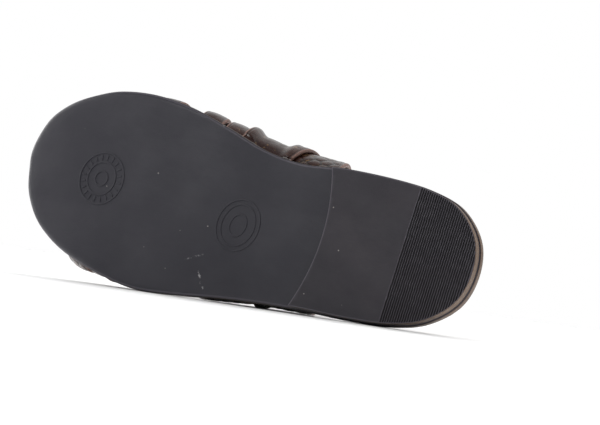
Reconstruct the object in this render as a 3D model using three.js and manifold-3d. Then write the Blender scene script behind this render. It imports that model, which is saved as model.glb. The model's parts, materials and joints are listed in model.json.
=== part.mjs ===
// Right-foot slide sandal, lying on its outer side with the tread facing -Y and the toe towards -X.
// Five crossed leather bands are lasted round a leather-covered footbed, which sits on a rubber outsole
// with a separate heel lift. It is drawn in a shoe frame, in millimetres: X to the outer (little toe)
// side, Y from the heel end to the toe, Z up from the ground. The last lines lay it down on a floor.
import * as THREE from "three";
import { mergeVertices } from "three/addons/utils/BufferGeometryUtils.js";
import { ConvexHull } from "three/addons/math/ConvexHull.js";
import Module from "manifold-3d";

const wasm = await Module();
wasm.setup();

// Driving dimensions
const soleLength = 292;
const ballWidth = 109;
const outsoleThickness = 4.8;
const liftThickness = 5.2;
const liftInset = 0.7;
const footbedThickness = 8;
const footbedLedge = 3;
const strapThickness = 2.2;
const strapCrown = 0.5;
const strapEdgeRound = 0.8;
const tuckLength = 9;
const tuckBend = 0.8;
const clearance = 0.3;
const crossingBite = 0.3;
const crossingRamp = 7;
const toeSpring = 8;
const vampHeight = 60;
const flare = { inner: 28, outer: 10 };
const crownShift = 5;
const breastDepth = 7;
const heelCupDepth = 2.4;
const forefootDish = 1.1;
const footbedEdgeRound = 1.8;
const toeEdgeRound = 3.2;
const waistEdgeRound = 1.2;
const topEdgeBevel = 0.5;
const liftBevel = 0.6;

// How finely the curves are cut into facets
const outlineSteps = 8;
const spineSteps = 26;
const capSteps = 18;
const strapRows = 24;
const strapColumns = 5;

// Densities in g/cm3, for the point that the sandal balances on
const density = { rubber: 1.15, footbed: 0.55, leather: 0.95 };

// The sole's outline: how far along the sole, and its reach to each side in ball widths
const outline = [
  { at: 0.015, outer: 0.163, inner: 0.163 },
  { at: 0.065, outer: 0.289, inner: 0.29 },
  { at: 0.13, outer: 0.352, inner: 0.337 },
  { at: 0.205, outer: 0.382, inner: 0.346 },
  { at: 0.308, outer: 0.404, inner: 0.333 },
  { at: 0.4, outer: 0.431, inner: 0.302 },
  { at: 0.48, outer: 0.467, inner: 0.318 },
  { at: 0.565, outer: 0.515, inner: 0.378 },
  { at: 0.657, outer: 0.549, inner: 0.433 },
  { at: 0.745, outer: 0.529, inner: 0.451 },
  { at: 0.825, outer: 0.484, inner: 0.427 },
  { at: 0.885, outer: 0.424, inner: 0.372 },
  { at: 0.935, outer: 0.341, inner: 0.303 },
  { at: 0.973, outer: 0.225, inner: 0.213 },
  { at: 0.9915, outer: 0.105, inner: 0.117 },
];

// The underside's profile: heights of the outsole's tread, 1 being the heel lift with its clearance
const treadFlat = { breast: 0.33, waist: 0.4, ballHeel: 0.6, ballToe: 0.73 };

// The last over the footbed: crown height in vamp heights, and each side's swell in its own flares
const last = [
  { at: 0.15, crown: 1.06, inner: 0.3, outer: 0.2 },
  { at: 0.3, crown: 1.05, inner: 0.75, outer: 0.12 },
  { at: 0.4, crown: 1.0, inner: 1.0, outer: -0.12 },
  { at: 0.48, crown: 0.94, inner: 0.88, outer: -0.18 },
  { at: 0.565, crown: 0.85, inner: 0.66, outer: -0.2 },
  { at: 0.657, crown: 0.75, inner: 0.5, outer: -0.15 },
  { at: 0.745, crown: 0.645, inner: 0.4, outer: 0.5 },
  { at: 0.825, crown: 0.54, inner: 0.25, outer: 1.7 },
  { at: 0.87, crown: 0.47, inner: 0.2, outer: 1.7 },
];

// Each band's two edges, as shares of the sole's length, at five places round the foot:
// outer foot, outer side, crown, inner side, inner foot. A band lies over the ones it names.
const bands = [
  {
    name: "ball_band",
    over: [],
    front: [0.733, 0.757, 0.777, 0.783, 0.781],
    rear: [0.661, 0.692, 0.714, 0.716, 0.712],
  },
  {
    name: "toe_band",
    over: ["ball_band"],
    front: [0.863, 0.818, 0.758, 0.696, 0.652],
    rear: [0.808, 0.763, 0.703, 0.645, 0.601],
  },
  {
    name: "middle_band",
    over: ["ball_band"],
    front: [0.802, 0.757, 0.695, 0.636, 0.594],
    rear: [0.75, 0.702, 0.64, 0.582, 0.541],
  },
  {
    name: "waist_band",
    over: [],
    front: [0.534, 0.548, 0.53, 0.488, 0.452],
    rear: [0.438, 0.446, 0.425, 0.38, 0.342],
  },
  {
    name: "instep_band",
    over: ["waist_band", "middle_band"],
    front: [0.425, 0.492, 0.548, 0.57, 0.554],
    rear: [0.301, 0.36, 0.408, 0.438, 0.444],
  },
];

const ease = (t) => {
  const c = THREE.MathUtils.clamp(t, 0, 1);
  return c * c * (3 - 2 * c);
};

// Smooth curve value between four neighbours
const blend4 = (a, b, c, d, t) =>
  b + 0.5 * t * (c - a + t * (2 * a - 5 * b + 4 * c - d + t * (3 * (b - c) + d - a)));

// Reads a table of rows at rising shares with a smooth curve through them
function readTable(rows, column, share) {
  const end = rows.length - 1;
  const s = THREE.MathUtils.clamp(share, rows[0].at, rows[end].at);
  let i = 0;
  while (i < end - 1 && s > rows[i + 1].at) i += 1;
  const value = (k) => rows[THREE.MathUtils.clamp(k, 0, end)][column];
  const t = (s - rows[i].at) / (rows[i + 1].at - rows[i].at);
  return blend4(value(i - 1), value(i), value(i + 1), value(i + 2), t);
}

// Reads five evenly spaced values from place 1 (outer foot) to place -1 (inner foot)
function readFive(values, place) {
  const p = THREE.MathUtils.clamp((1 - place) * 2, 0, 4);
  const i = Math.min(3, Math.floor(p));
  const value = (k) => values[THREE.MathUtils.clamp(k, 0, 4)];
  return blend4(value(i - 1), value(i), value(i + 1), value(i + 2), p - i);
}

// The outline as a dense closed loop, from the heel end up the outer side and back down the inner side
function outlineLoop() {
  const knots = [[0, 0]];
  outline.forEach((r) => knots.push([r.outer * ballWidth, r.at * soleLength]));
  knots.push([0, soleLength]);
  [...outline].reverse().forEach((r) => knots.push([-r.inner * ballWidth, r.at * soleLength]));
  const n = knots.length;
  const loop = [];
  for (let i = 0; i < n; i += 1) {
    const [a, b, c, d] = [-1, 0, 1, 2].map((k) => knots[(i + k + n) % n]);
    for (let j = 0; j < outlineSteps; j += 1) {
      const t = j / outlineSteps;
      loop.push(new THREE.Vector2(blend4(a[0], b[0], c[0], d[0], t), blend4(a[1], b[1], c[1], d[1], t)));
    }
  }
  return loop;
}

// The loop moved inwards by a distance, along its own normals
function insetLoop(loop, inset) {
  const n = loop.length;
  return loop.map((p, i) => {
    const along = loop[(i + 1) % n].clone().sub(loop[(i - 1 + n) % n]).normalize();
    return new THREE.Vector2(p.x - along.y * inset, p.y + along.x * inset);
  });
}

// Where the loop crosses a distance along the sole: its reach to the outer and the inner side
function reachAt(loop, y) {
  const n = loop.length;
  const reach = { outer: -Infinity, inner: Infinity };
  for (let i = 0; i < n; i += 1) {
    const a = loop[i];
    const b = loop[(i + 1) % n];
    if ((a.y - y) * (b.y - y) > 0 || a.y === b.y) continue;
    const x = a.x + ((b.x - a.x) * (y - a.y)) / (b.y - a.y);
    reach.outer = Math.max(reach.outer, x);
    reach.inner = Math.min(reach.inner, x);
  }
  return reach;
}

// Where a ray from a point meets the loop
function rayToLoop(loop, from, direction) {
  const n = loop.length;
  let nearest = Infinity;
  for (let i = 0; i < n; i += 1) {
    const a = loop[i];
    const side = loop[(i + 1) % n].clone().sub(a);
    const across = direction.cross(side);
    if (Math.abs(across) < 1e-9) continue;
    const gap = a.clone().sub(from);
    const distance = gap.cross(side) / across;
    const share = gap.cross(direction) / across;
    if (distance > 0 && share >= 0 && share <= 1) nearest = Math.min(nearest, distance);
  }
  return from.clone().addScaledVector(direction, nearest);
}

const soleLoop = outlineLoop();
const footbedLoop = insetLoop(soleLoop, footbedLedge);
const heelCentre = 0.13 * soleLength;
const toeCentre = 0.84 * soleLength;

// Points round the sole, each paired with the point of the spine that it closes on
function planOf(loop) {
  const plan = [];
  const spineAt = (y) => {
    const reach = reachAt(loop, y);
    return new THREE.Vector2((reach.outer + reach.inner) / 2, y);
  };
  const station = (k, side) => {
    const y = heelCentre + ((toeCentre - heelCentre) * k) / spineSteps;
    plan.push({ edge: new THREE.Vector2(reachAt(loop, y)[side], y), spine: spineAt(y) });
  };
  const cap = (y, start) => {
    const spine = spineAt(y);
    for (let k = 1; k < capSteps; k += 1) {
      const angle = start + (Math.PI * k) / capSteps;
      const ray = new THREE.Vector2(Math.cos(angle), Math.sin(angle));
      plan.push({ edge: rayToLoop(loop, spine, ray), spine });
    }
  };
  for (let k = 0; k <= spineSteps; k += 1) station(k, "outer");
  cap(toeCentre, 0);
  for (let k = spineSteps; k >= 0; k -= 1) station(k, "inner");
  cap(heelCentre, Math.PI);
  const n = plan.length;
  plan.forEach((p, i) => {
    const along = plan[(i + 1) % n].edge.clone().sub(plan[(i - 1 + n) % n].edge).normalize();
    p.normal = new THREE.Vector2(-along.y, along.x);
  });
  return plan;
}

// A ring of the plan, moved in from the edge by a distance, then towards the spine by a share
function ringOf(plan, inset, toSpine, height) {
  return plan.map((p) => {
    const move = typeof inset === "function" ? inset(p.edge.y) : inset;
    const at = p.edge.clone().addScaledVector(p.normal, move).lerp(p.spine, toSpine);
    return new THREE.Vector3(at.x, at.y, height(at.x, at.y, p));
  });
}

// A closed geometry from rings of equal length, each joined to the next, with faces turned outwards
function skin(rings, capped) {
  const n = rings[0].length;
  const corners = [];
  const face = (a, b, c) => corners.push(a, b, c);
  for (let k = 0; k + 1 < rings.length; k += 1) {
    for (let i = 0; i < n; i += 1) {
      const j = (i + 1) % n;
      face(rings[k][i], rings[k][j], rings[k + 1][j]);
      face(rings[k][i], rings[k + 1][j], rings[k + 1][i]);
    }
  }
  if (capped) {
    [rings[0], rings[rings.length - 1]].forEach((ring, end) => {
      for (let i = 0; i < n / 2 - 1; i += 1) {
        const quad = [ring[i], ring[i + 1], ring[n - 2 - i], ring[n - 1 - i]];
        if (end === 0) quad.reverse();
        face(quad[0], quad[1], quad[2]);
        face(quad[0], quad[2], quad[3]);
      }
    });
  }
  const geometry = new THREE.BufferGeometry().setFromPoints(corners);
  const merged = mergeVertices(geometry, 1e-4);
  const index = Array.from(merged.index.array);
  const kept = [];
  for (let i = 0; i < index.length; i += 3) {
    const [a, b, c] = index.slice(i, i + 3);
    if (a !== b && b !== c && c !== a) kept.push(a, b, c);
  }
  merged.setIndex(kept);
  if (massOf(merged).volume < 0) {
    for (let i = 0; i < kept.length; i += 3) [kept[i], kept[i + 1]] = [kept[i + 1], kept[i]];
    merged.setIndex(kept);
  }
  return merged;
}

// Signed volume and centre of a closed geometry
function massOf(geometry) {
  const p = geometry.attributes.position;
  const index = geometry.index.array;
  const centre = new THREE.Vector3();
  const [a, b, c] = [new THREE.Vector3(), new THREE.Vector3(), new THREE.Vector3()];
  let volume = 0;
  for (let i = 0; i < index.length; i += 3) {
    [a, b, c].forEach((v, k) => v.fromBufferAttribute(p, index[i + k]));
    const part = a.dot(b.clone().cross(c)) / 6;
    volume += part;
    centre.addScaledVector(a.clone().add(b).add(c), part / 4);
  }
  return { volume, centre: centre.divideScalar(volume) };
}

const toSolid = (geometry) =>
  new wasm.Manifold(
    new wasm.Mesh({
      numProp: 3,
      vertProperties: new Float32Array(geometry.attributes.position.array),
      triVerts: new Uint32Array(geometry.index.array),
    }),
  );

function toGeometry(solid) {
  const mesh = solid.getMesh();
  const positions = new Float32Array(mesh.numVert * 3);
  for (let i = 0; i < mesh.numVert; i += 1) {
    positions.set(mesh.vertProperties.subarray(i * mesh.numProp, i * mesh.numProp + 3), i * 3);
  }
  return new THREE.BufferGeometry()
    .setAttribute("position", new THREE.BufferAttribute(positions, 3))
    .setIndex(new THREE.BufferAttribute(new Uint32Array(mesh.triVerts), 1));
}

// Height of the outsole's tread above the ground: raised on the heel lift, flat at the ball, sprung at the toe
function treadHeight(y) {
  const share = y / soleLength;
  const heel = liftThickness + clearance;
  const down = 1 - ease((share - treadFlat.waist) / (treadFlat.ballHeel - treadFlat.waist));
  const spring = Math.max(0, (share - treadFlat.ballToe) / (1 - treadFlat.ballToe));
  return heel * down + toeSpring * spring ** 1.8;
}
const outsoleTop = (y) => treadHeight(y) + outsoleThickness;
const footbedBottom = (y) => outsoleTop(y) + clearance;
const footbedTop = (y) => footbedBottom(y) + footbedThickness;

function outsoleGeometry() {
  const plan = planOf(soleLoop);
  const round = (y) => THREE.MathUtils.lerp(waistEdgeRound, toeEdgeRound, ease((y / soleLength - 0.45) / 0.35));
  const under = (part) => (x, y, p) => treadHeight(y) + part * round(p.edge.y);
  const above = (drop) => (x, y) => outsoleTop(y) - drop;
  return skin([
    ringOf(plan, 0, 1, under(0)),
    ringOf(plan, round, 0.5, under(0)),
    ringOf(plan, round, 0, under(0)),
    ringOf(plan, (y) => 0.29 * round(y), 0, under(0.29)),
    ringOf(plan, 0, 0, under(1)),
    ringOf(plan, 0, 0, above(topEdgeBevel)),
    ringOf(plan, topEdgeBevel, 0, above(0)),
    ringOf(plan, topEdgeBevel, 0.5, above(0)),
    ringOf(plan, 0, 1, above(0)),
  ]);
}

// The heel lift, cut off in front by a breast that curves towards the heel
function liftGeometry() {
  const loop = insetLoop(soleLoop, liftInset);
  const breast = treadFlat.breast * soleLength;
  const reach = reachAt(loop, breast);
  const middle = (reach.outer + reach.inner) / 2;
  const half = (reach.outer - reach.inner) / 2;
  const points = loop.filter((p) => p.y < breast - liftBevel);
  const turn = points.findIndex((p) => p.x < 0 && p.y > heelCentre);
  const round = [...points.slice(turn), ...points.slice(0, turn)];
  const front = [];
  for (let k = 0; k <= 2 * capSteps; k += 1) {
    const u = 1 - k / capSteps;
    front.push(new THREE.Vector2(middle + half * u, breast - breastDepth * (1 - u * u)));
  }
  const shape = new THREE.Shape([...round, ...front]);
  const made = new THREE.ExtrudeGeometry(shape, {
    depth: liftThickness - 2 * liftBevel,
    bevelThickness: liftBevel,
    bevelSize: liftBevel,
    bevelOffset: -liftBevel,
    bevelSegments: 1,
    curveSegments: 1,
  });
  made.translate(0, 0, liftBevel);
  made.deleteAttribute("normal");
  made.deleteAttribute("uv");
  return mergeVertices(made, 1e-3);
}

// How deep the footbed's top is dished, from its edge to its middle line
function dish(y, toSpine) {
  const share = y / soleLength;
  const heel = heelCupDepth * (1 - ease((share - 0.2) / 0.25));
  const front = forefootDish * ease((share - 0.45) / 0.2);
  return (heel + front) * ease(toSpine * 1.3);
}

function footbedGeometry() {
  const plan = planOf(footbedLoop);
  const bottom = (x, y) => footbedBottom(y);
  const side = (drop) => (x, y) => footbedTop(y) - drop;
  const top = (toSpine) => (x, y) => footbedTop(y) - dish(y, toSpine);
  const r = footbedEdgeRound;
  return skin([
    ringOf(plan, 0, 1, bottom),
    ringOf(plan, 0, 0.4, bottom),
    ringOf(plan, 0, 0, bottom),
    ringOf(plan, 0, 0, side(r)),
    ringOf(plan, 0.29 * r, 0, side(0.29 * r)),
    ringOf(plan, r, 0, side(0)),
    ringOf(plan, r, 0.2, top(0.2)),
    ringOf(plan, r, 0.45, top(0.45)),
    ringOf(plan, r, 0.75, top(0.75)),
    ringOf(plan, 0, 1, top(1)),
  ]);
}

// Half of the last's section at y, from the crown down one side, round the footbed's lower edge and under it
function halfSection(y, side) {
  const sign = side === "outer" ? 1 : -1;
  const reach = reachAt(footbedLoop, y);
  const share = y / soleLength;
  const edge = reach[side] + sign * clearance;
  const middle = (reach.outer + reach.inner) / 2 - crownShift;
  const height = vampHeight * readTable(last, "crown", share);
  const swell = flare[side] * readTable(last, side, share);
  const base = footbedTop(y);
  const crown = new THREE.Vector2(middle, base + height);
  const foot = new THREE.Vector2(edge, base);
  const curve = new THREE.CubicBezierCurve(
    crown,
    new THREE.Vector2(middle + 0.62 * (edge - middle) + sign * 0.3 * swell, base + height),
    new THREE.Vector2(edge + sign * swell, base + 0.5 * height),
    foot,
  );
  const points = curve.getPoints(16);
  const under = outsoleTop(y) + clearance + strapThickness;
  points.push(new THREE.Vector2(edge, under + tuckBend));
  const sideLength = lengthOf(points);
  for (let k = 1; k <= 2; k += 1) {
    const a = (Math.PI / 4) * k;
    const reachIn = sign * tuckBend * (1 - Math.cos(a));
    points.push(new THREE.Vector2(edge - reachIn, under + tuckBend * (1 - Math.sin(a))));
  }
  points.push(new THREE.Vector2(edge - sign * tuckLength, under));
  return { points, sideLength, fullLength: lengthOf(points) };
}

function lengthOf(points) {
  return points.slice(1).reduce((sum, p, i) => sum + p.distanceTo(points[i]), 0);
}

// A point of the last: place 1 is the outer foot, 0 the crown, -1 the inner foot, and past 1 the tuck, up to 2
const sectionCache = new Map();
function lastPoint(y, place) {
  const side = place >= 0 ? "outer" : "inner";
  const key = side + y.toFixed(4);
  if (!sectionCache.has(key)) sectionCache.set(key, halfSection(y, side));
  const { points, sideLength, fullLength } = sectionCache.get(key);
  const p = Math.abs(place);
  let left = p <= 1 ? p * sideLength : sideLength + (p - 1) * (fullLength - sideLength);
  for (let i = 0; i + 1 < points.length; i += 1) {
    const step = points[i].distanceTo(points[i + 1]);
    if (left <= step || i + 2 === points.length) {
      const at = points[i].clone().lerp(points[i + 1], left / step);
      return new THREE.Vector3(at.x, y, at.y);
    }
    left -= step;
  }
  return null;
}

function lastNormal(y, place) {
  const dy = 1;
  const dp = 0.02;
  const across = lastPoint(y, place + dp).sub(lastPoint(y, place - dp));
  const along = lastPoint(y + dy, place).sub(lastPoint(y - dy, place));
  return across.cross(along).normalize();
}

const bandEdges = (band, place) => ({
  front: soleLength * readFive(band.front, place),
  rear: soleLength * readFive(band.rear, place),
});

// How far a band is lifted at a point by the bands that it crosses over
function liftOver(band, y, place) {
  const nearFoot = 1 - ease((Math.abs(place) - 0.8) / 0.18);
  const share = band.over.reduce((most, name) => {
    const { front, rear } = bandEdges(bands.find((b) => b.name === name), place);
    const outside = Math.max(0, y - front, rear - y);
    return Math.max(most, 1 - ease(outside / crossingRamp));
  }, 0);
  return (strapThickness - crossingBite) * share * nearFoot;
}

// One band as a closed tube of sections from the outer tuck over the foot to the inner tuck
function bandGeometry(band, grow = 0, places = bandPlaces()) {
  const rings = places.map((place) => {
    const { front, rear } = bandEdges(band, place);
    const point = (across, height) => {
      const y = THREE.MathUtils.lerp(rear - grow, front + grow, across);
      const lift = liftOver(band, y, place) + height;
      return lastPoint(y, place).addScaledVector(lastNormal(y, place), lift);
    };
    const round = strapEdgeRound / (front - rear);
    const columns = Array.from({ length: strapColumns }, (_, k) => {
      const v = round + ((1 - 2 * round) * k) / (strapColumns - 1);
      const crown = strapCrown * (1 - (2 * v - 1) ** 2) * (Math.abs(place) < 0.9 ? 1 : 0);
      return { v, crown };
    });
    const outer = columns.map(({ v, crown }) => point(v, strapThickness + crown + grow));
    const inner = columns.map(({ v }) => point(v, -grow)).reverse();
    return [point(0, strapThickness / 2), ...outer, point(1, strapThickness / 2), ...inner];
  });
  return skin(capRings(rings), false);
}

// Adds a ring at each end that closes the tube on its own middle line
function capRings(rings) {
  const flat = (ring) => {
    const n = ring.length;
    return ring.map((p, i) => p.clone().add(ring[(n - i) % n]).multiplyScalar(0.5));
  };
  return [flat(rings[0]), ...rings, flat(rings[rings.length - 1])];
}

function bandPlaces() {
  const over = Array.from({ length: strapRows + 1 }, (_, k) => 1 - (2 * k) / strapRows);
  const tuck = [2, 1.5, 1.12, 1.06];
  return [...tuck, ...over, ...tuck.map((p) => -p).reverse()];
}

// The upper: all five bands joined where they cross
function upperGeometry() {
  const solids = bands.map((band) => toSolid(bandGeometry(band)));
  return toGeometry(solids.reduce((all, one) => all.add(one)));
}

// The footbed with a pocket underneath for each band's tuck
function pocketedFootbed() {
  const tuck = [2.06, 1.5, 1.12, 1.06, 1, 0.97];
  let solid = toSolid(footbedGeometry());
  bands.forEach((band) => {
    [1, -1].forEach((side) => {
      const places = tuck.map((p) => side * p);
      solid = solid.subtract(toSolid(bandGeometry(band, clearance, places)));
    });
  });
  return toGeometry(solid);
}

const materials = {
  rubber: new THREE.MeshStandardMaterial({ color: 0x3a3a3e, roughness: 0.6, metalness: 0 }),
  footbed: new THREE.MeshStandardMaterial({ color: 0x4a2f27, roughness: 0.45, metalness: 0 }),
  leather: new THREE.MeshStandardMaterial({ color: 0x35241a, roughness: 0.25, metalness: 0 }),
};

const pieces = [
  { name: "outsole", geometry: outsoleGeometry(), material: "rubber" },
  { name: "heel_lift", geometry: liftGeometry(), material: "rubber" },
  { name: "footbed", geometry: pocketedFootbed(), material: "footbed" },
  { name: "upper", geometry: upperGeometry(), material: "leather" },
];

// The balance point of all pieces together
function balancePoint() {
  const sum = new THREE.Vector3();
  let mass = 0;
  pieces.forEach(({ geometry, material }) => {
    const { volume, centre } = massOf(geometry);
    mass += volume * density[material];
    sum.addScaledVector(centre, volume * density[material]);
  });
  return sum.divideScalar(mass);
}

// The flat plane that the sandal rests on when it lies on its outer side: the face of its convex hull
// that faces that side and has the balance point over it
function restingPlane(points, balance) {
  const hull = new ConvexHull().setFromPoints(points);
  let best = null;
  hull.faces.forEach((face) => {
    if (face.normal.x < 0.8) return;
    const inside = [0, 1, 2].reduce((least, k) => {
      const edge = face.getEdge(k);
      const along = edge.head().point.clone().sub(edge.tail().point).normalize();
      const gap = balance.clone().sub(edge.tail().point);
      return Math.min(least, face.normal.clone().cross(along).dot(gap));
    }, Infinity);
    if (!best || inside > best.inside) best = { inside, normal: face.normal.clone() };
  });
  return best;
}

// Lays the sandal on the resting plane, with the toe towards -X, and puts the origin under its middle
function layDown(group) {
  const points = [];
  pieces.forEach(({ geometry }) => {
    const p = geometry.attributes.position;
    for (let i = 0; i < p.count; i += 1) points.push(new THREE.Vector3().fromBufferAttribute(p, i));
  });
  const down = restingPlane(points, balancePoint()).normal;
  const up = down.clone().negate();
  const toe = new THREE.Vector3(0, 1, 0).addScaledVector(down, -down.y).normalize();
  const right = toe.clone().negate();
  const back = up.clone().cross(right);
  const turn = new THREE.Matrix4().makeBasis(right, back, up).transpose();
  group.quaternion.setFromRotationMatrix(turn);
  const box = new THREE.Box3().setFromPoints(points.map((p) => p.clone().applyMatrix4(turn)));
  const middle = box.getCenter(new THREE.Vector3());
  group.position.set(-middle.x, -middle.y, -box.min.z);
}

const sandal = new THREE.Group();
const lying = new THREE.Group();
pieces.forEach(({ name, geometry, material }) => {
  const mesh = new THREE.Mesh(geometry, materials[material]);
  mesh.name = name;
  lying.add(mesh);
});
layDown(lying);
sandal.add(lying);

export default sandal;
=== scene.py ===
# Right-foot slide sandal lying on its outer side with the tread towards the camera: a matt rubber
# outsole with a ribbed heel lift, a leather-covered footbed and five crossed straps of patent leather
# with an embossed scale grain. Shapes are made in the shoe's own frame, in millimetres: X to the outer
# side, Y from the heel end to the toe, Z up from the ground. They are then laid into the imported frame.
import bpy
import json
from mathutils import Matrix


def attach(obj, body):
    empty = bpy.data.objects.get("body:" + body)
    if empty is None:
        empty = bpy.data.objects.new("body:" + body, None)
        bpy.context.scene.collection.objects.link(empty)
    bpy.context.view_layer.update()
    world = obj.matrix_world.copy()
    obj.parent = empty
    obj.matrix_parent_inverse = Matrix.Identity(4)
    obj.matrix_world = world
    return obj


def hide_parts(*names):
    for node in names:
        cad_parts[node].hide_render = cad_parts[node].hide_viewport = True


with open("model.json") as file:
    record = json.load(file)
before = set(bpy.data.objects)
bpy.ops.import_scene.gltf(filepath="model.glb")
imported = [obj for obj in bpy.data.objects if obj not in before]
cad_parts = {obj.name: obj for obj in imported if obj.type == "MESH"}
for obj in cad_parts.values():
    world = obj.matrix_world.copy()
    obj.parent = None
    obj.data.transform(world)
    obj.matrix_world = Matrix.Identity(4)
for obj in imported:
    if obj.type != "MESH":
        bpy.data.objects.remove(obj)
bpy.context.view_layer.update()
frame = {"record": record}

import json
import math

import bmesh
import bpy
from mathutils import Matrix, Vector, kdtree, noise

MM = 0.001

# The shoe's frame, from the two flat spots of its tread
heel_spot_in_shoe = Vector((4, 45, 0))
mounts = {mount["name"]: mount for mount in frame["record"]["mounts"]}
heel_spot = Vector(mounts["heel_tread"]["pos_m"])
ball_spot = Vector(mounts["ball_tread"]["pos_m"])
toe_way = (ball_spot - heel_spot).normalized()
up_way = -Vector(mounts["heel_tread"]["axis"]).normalized()
outer_way = toe_way.cross(up_way).normalized()
shoe_turn = Matrix((outer_way, toe_way, up_way)).transposed()
shoe_origin = heel_spot - shoe_turn @ heel_spot_in_shoe * MM
shoe_place = Matrix.Translation(shoe_origin) @ (shoe_turn * MM).to_4x4()

# Camera at the photograph's angle to the tread, rolled with the shoe
camera_place = Vector((76.0, -365.7, -923.2))
camera_forward = Vector((-0.07907, 0.45361, 0.88769)).normalized()
camera_up = Vector((-0.9487, 0.23922, -0.20675)).normalized()
camera_width_degrees = 17.68


def add_camera():
    right = camera_forward.cross(camera_up).normalized()
    up = right.cross(camera_forward)
    turn = shoe_turn @ Matrix((right, up, -camera_forward)).transposed()
    data = bpy.data.cameras.new("camera")
    data.sensor_fit = "HORIZONTAL"
    data.angle = math.radians(camera_width_degrees)
    camera = bpy.data.objects.new("camera", data)
    camera.matrix_world = Matrix.Translation(shoe_place @ camera_place) @ turn.to_4x4()
    bpy.context.scene.collection.objects.link(camera)
    bpy.context.scene.camera = camera


add_camera()

# Driving sizes
sole_length = 292
ball_width = 109
outsole_thickness = 4.8
lift_thickness = 5.2
lift_inset = 0.7
footbed_thickness = 8
footbed_ledge = 3
strap_thickness = 2.2
strap_crown = 0.5
strap_edge_round = 0.9
tuck_length = 9
tuck_bend = 0.8
clearance = 0.3
crossing_gap = 0.7
crossing_ramp = 7
toe_spring = 8
vamp_height = 60
flare = {"inner": 28, "outer": 10}
crown_shift = 5
breast_depth = 7
heel_cup_depth = 2.4
forefoot_dish = 1.1
footbed_edge_round = 1.8
toe_edge_round = 3.2
waist_edge_round = 1.2
top_edge_round = 0.5
lift_edge_round = 0.5

# The sole's outline: how far along the sole, and its reach to each side in ball widths
outline = [
    {"at": 0.015, "outer": 0.163, "inner": 0.163},
    {"at": 0.065, "outer": 0.289, "inner": 0.29},
    {"at": 0.13, "outer": 0.352, "inner": 0.337},
    {"at": 0.205, "outer": 0.382, "inner": 0.346},
    {"at": 0.308, "outer": 0.404, "inner": 0.333},
    {"at": 0.4, "outer": 0.431, "inner": 0.302},
    {"at": 0.48, "outer": 0.467, "inner": 0.318},
    {"at": 0.565, "outer": 0.515, "inner": 0.378},
    {"at": 0.657, "outer": 0.549, "inner": 0.433},
    {"at": 0.745, "outer": 0.529, "inner": 0.451},
    {"at": 0.825, "outer": 0.484, "inner": 0.427},
    {"at": 0.885, "outer": 0.424, "inner": 0.372},
    {"at": 0.935, "outer": 0.341, "inner": 0.303},
    {"at": 0.973, "outer": 0.225, "inner": 0.213},
    {"at": 0.9915, "outer": 0.105, "inner": 0.117},
]

# The underside's profile, as shares of the sole's length, and how the toe's lift grows
tread_flat = {"breast": 0.33, "waist": 0.4, "ball_heel": 0.6, "ball_toe": 0.73}
toe_spring_power = 1.8

# The last over the footbed: crown height in vamp heights, and each side's swell in its own flares
last_rows = [
    {"at": 0.15, "crown": 1.06, "inner": 0.3, "outer": 0.2},
    {"at": 0.3, "crown": 1.05, "inner": 0.75, "outer": 0.12},
    {"at": 0.4, "crown": 1.0, "inner": 1.0, "outer": -0.12},
    {"at": 0.48, "crown": 0.94, "inner": 0.88, "outer": -0.18},
    {"at": 0.565, "crown": 0.85, "inner": 0.66, "outer": -0.2},
    {"at": 0.657, "crown": 0.75, "inner": 0.5, "outer": -0.15},
    {"at": 0.745, "crown": 0.645, "inner": 0.4, "outer": 0.5},
    {"at": 0.825, "crown": 0.54, "inner": 0.25, "outer": 1.7},
    {"at": 0.87, "crown": 0.47, "inner": 0.2, "outer": 1.7},
]

# Each strap's two edges, as shares of the sole's length, at five places round the foot:
# outer foot, outer side, crown, inner side, inner foot. A strap lies over the ones it names.
straps = {
    "ball_strap": {
        "over": [],
        "front": [0.733, 0.757, 0.777, 0.783, 0.781],
        "rear": [0.661, 0.692, 0.714, 0.716, 0.712],
    },
    "toe_strap": {
        "over": ["ball_strap"],
        "front": [0.863, 0.818, 0.758, 0.696, 0.652],
        "rear": [0.808, 0.763, 0.703, 0.645, 0.601],
    },
    "middle_strap": {
        "over": ["ball_strap"],
        "front": [0.802, 0.757, 0.695, 0.636, 0.594],
        "rear": [0.75, 0.702, 0.64, 0.582, 0.541],
    },
    "waist_strap": {
        "over": [],
        "front": [0.534, 0.548, 0.53, 0.488, 0.452],
        "rear": [0.438, 0.446, 0.425, 0.38, 0.342],
    },
    "instep_strap": {
        "over": ["waist_strap", "middle_strap"],
        "front": [0.425, 0.492, 0.548, 0.57, 0.554],
        "rear": [0.301, 0.36, 0.408, 0.438, 0.444],
    },
}


# Curves
def clamp(value, low, high):
    return max(low, min(high, value))


def mix(a, b, share):
    return a + (b - a) * share


def ease(share):
    """Goes smoothly from 0 to 1 while the share does"""
    c = clamp(share, 0.0, 1.0)
    return c * c * (3 - 2 * c)


def bump(value, middle, spread):
    """A soft hump, 1 high at its middle"""
    return math.exp(-(((value - middle) / spread) ** 2))


def blend4(a, b, c, d, t):
    """The smooth curve through four even values, from the second one to the third"""
    return b + 0.5 * t * (c - a + t * (2 * a - 5 * b + 4 * c - d + t * (3 * (b - c) + d - a)))


def read_table(rows, column, share):
    """A column's value at a share of the sole's length, smooth between the rows"""
    end = len(rows) - 1
    s = clamp(share, rows[0]["at"], rows[end]["at"])
    i = 0
    while i < end - 1 and s > rows[i + 1]["at"]:
        i += 1
    a, b, c, d = (rows[clamp(i + k, 0, end)][column] for k in (-1, 0, 1, 2))
    return blend4(a, b, c, d, (s - rows[i]["at"]) / (rows[i + 1]["at"] - rows[i]["at"]))


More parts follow.
